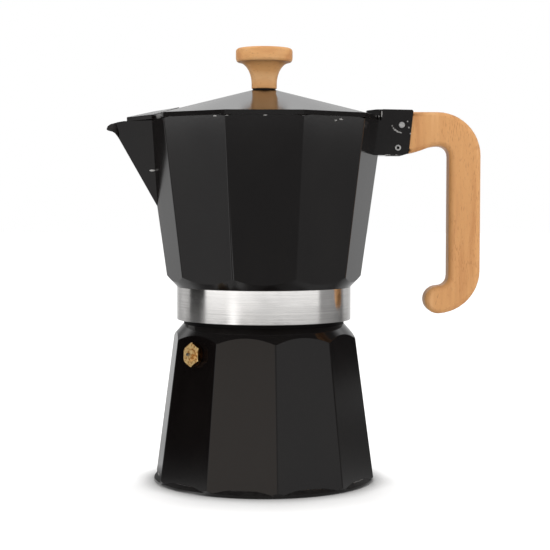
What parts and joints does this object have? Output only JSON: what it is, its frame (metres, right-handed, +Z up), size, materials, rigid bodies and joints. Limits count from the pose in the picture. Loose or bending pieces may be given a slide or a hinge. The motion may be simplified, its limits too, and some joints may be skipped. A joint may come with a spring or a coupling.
{
  "type": "moka pot",
  "caption": "Stove-top moka pot: faceted boiler with a safety valve, coffee funnel, screw-on collector with a V spout, hinged lid, wooden knob and hooked wooden handle.",
  "frame": {"origin": "centre of the boiler's flat base, on the stove", "axes": "+Z up along the pot's axis; the spout points along -X and the handle along +X"},
  "size_m": [0.1879, 0.114, 0.2174],
  "materials": {
    "black_enamel": "gloss black enamel on cast aluminium",
    "bare_aluminium": "spun and pressed sheet, satin",
    "brass": "turned, satin",
    "copper_washer": "satin",
    "steel": "drawn",
    "rivet_metal": "bright",
    "white_rubber": "matt",
    "black_plastic": "matt",
    "beech": "sanded and lacquered, satin"
  },
  "bodies": {
    "boiler": {"boiler": "black_enamel", "valve_body": "brass", "valve_washer": "copper_washer", "valve_spring": "steel", "valve_cap": "brass"},
    "valve_plunger": {"valve_plunger": "steel"},
    "funnel": {"funnel_basket": "bare_aluminium", "funnel_stem": "bare_aluminium", "funnel_screen": "bare_aluminium"},
    "gasket": {"gasket": "white_rubber"},
    "filter_plate": {"filter_plate": "bare_aluminium"},
    "collector": {"collector": "black_enamel", "coffee_column": "bare_aluminium", "handle": "beech", "handle_rivet": "rivet_metal", "hinge_pin": "rivet_metal"},
    "lid": {"lid": "black_enamel", "knob": "beech", "knob_washer": "black_plastic", "knob_screw": "steel", "knob_insert": "brass"}
  },
  "joints": [
    {"name": "valve_lift", "type": "slide", "parent": "boiler", "child": "valve_plunger", "axis": [-0.7255, -0.6765, 0.1264], "range_m": [0, 0.0012], "stiffness_N_per_m": 800, "springref_m": -0.002, "deforming": ["valve_spring"]},
    {"name": "funnel_lift", "type": "slide", "parent": "boiler", "child": "funnel", "axis": [0, 0, 1], "range_m": [0, 0.085]},
    {"name": "collector_lift", "type": "slide", "parent": "funnel", "child": "gasket", "axis": [0, 0, 1], "range_m": [0, 0.05]},
    {"name": "thread_rise", "type": "slide", "parent": "gasket", "child": "filter_plate", "axis": [0, 0, 1], "range_m": [0, 0.00526]},
    {"name": "collector_turn", "type": "hinge", "parent": "filter_plate", "child": "collector", "pos_m": [0, 0, 0.09535], "axis": [0, 0, 1], "range_deg": [0, 630]},
    {"name": "lid_hinge", "type": "hinge", "parent": "collector", "child": "lid", "pos_m": [0.0686, 0, 0.17895], "axis": [0, 1, 0], "range_deg": [0, 100]}
  ],
  "couplings": [
    {"joint": "thread_rise", "follows": "collector_turn", "m_per_rad": 0.00047746}
  ]
}
